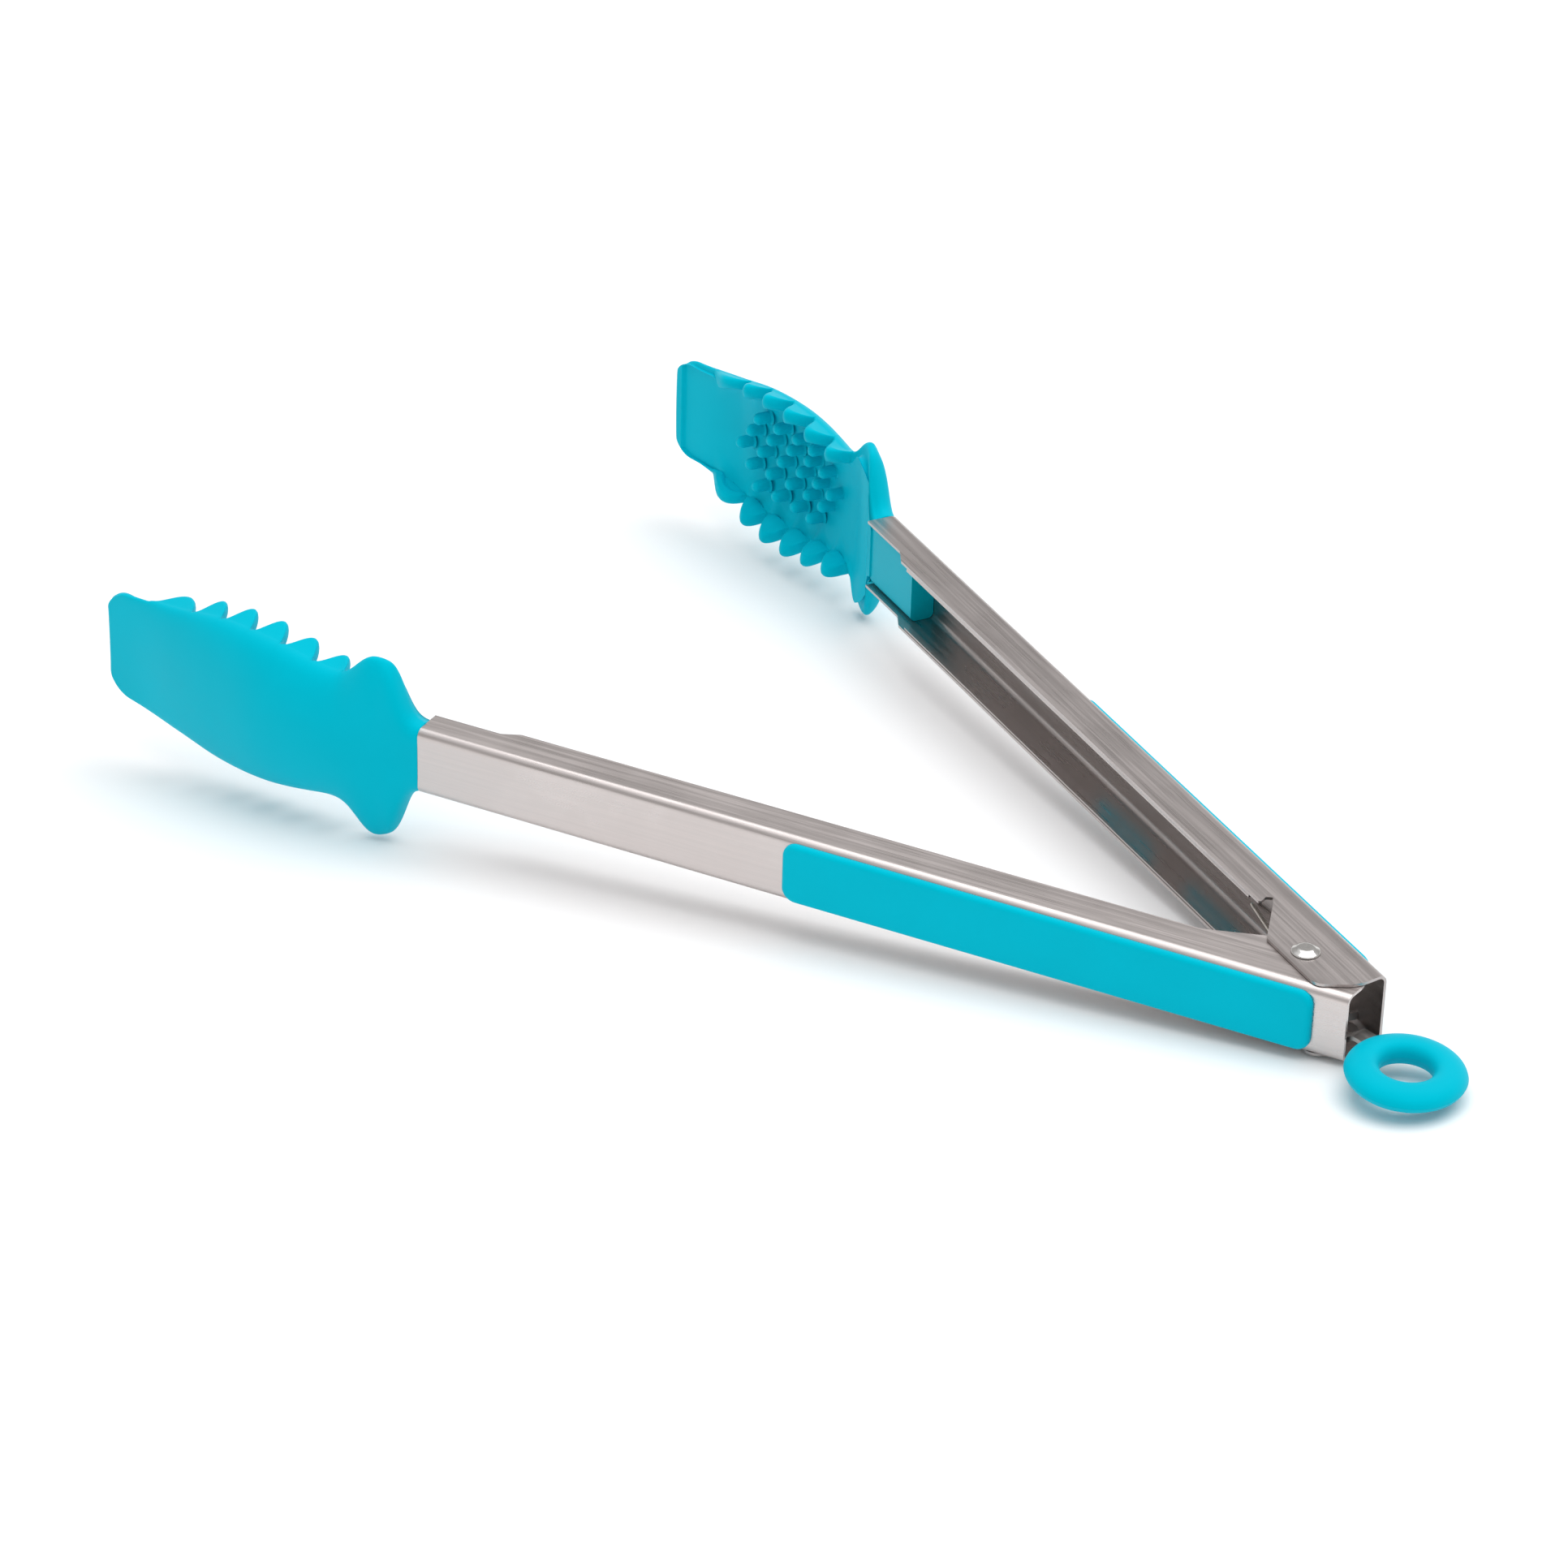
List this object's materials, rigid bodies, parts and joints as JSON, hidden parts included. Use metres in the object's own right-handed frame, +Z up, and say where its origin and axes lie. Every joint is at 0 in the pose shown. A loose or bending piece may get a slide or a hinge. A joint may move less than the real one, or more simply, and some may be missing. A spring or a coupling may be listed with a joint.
{
  "type": "kitchen tongs",
  "caption": "Spring loaded kitchen tongs: steel channel arms hinged on a rivet, toothed silicone scoop heads, silicone grips and a pull ring that works the lock.",
  "frame": {"origin": "middle of the underside of the whole object's box, at the height of the lower wings' tips", "axes": "+X from the heads to the pull ring along the centre line between the arms, +Y to the outer arm, +Z up along the pivot"},
  "size_m": [0.3462, 0.1942, 0.05],
  "materials": {
    "steel": "brushed along the arm",
    "rivet_steel": "polished",
    "spring_steel": "drawn wire and strip",
    "teal_silicone": "soft matt",
    "teal_nylon": "moulded, satin"
  },
  "bodies": {
    "inner_arm_body": {"inner_arm": "steel", "inner_grip": "teal_silicone", "inner_head": "teal_silicone", "inner_head_core": "teal_nylon", "torsion_spring": "spring_steel"},
    "outer_arm_body": {"outer_arm": "steel", "outer_grip": "teal_silicone", "outer_head": "teal_silicone", "outer_head_core": "teal_nylon"},
    "pivot_body": {"pivot_rivet": "rivet_steel"},
    "lock_body": {"lock_slide": "spring_steel", "pull_ring": "teal_silicone"}
  },
  "joints": [
    {"name": "arm_pivot", "type": "hinge", "parent": "inner_arm_body", "child": "outer_arm_body", "pos_m": [0.1246, 0, 0.025], "axis": [0, 0, 1], "range_deg": [0, 34.2], "stiffness_Nm_per_rad": 0.5, "springref_deg": -28.65, "deforming": ["torsion_spring"]},
    {"name": "rivet_turn", "type": "hinge", "parent": "inner_arm_body", "child": "pivot_body", "pos_m": [0.1246, 0, 0.025], "axis": [0, 0, 1], "range_deg": [0, 17.1]},
    {"name": "lock_pull", "type": "slide", "parent": "pivot_body", "child": "lock_body", "axis": [1, 0, 0], "range_m": [0, 0.0065]}
  ],
  "couplings": [
    {"joint": "rivet_turn", "follows": "arm_pivot", "ratio": 0.5}
  ]
}
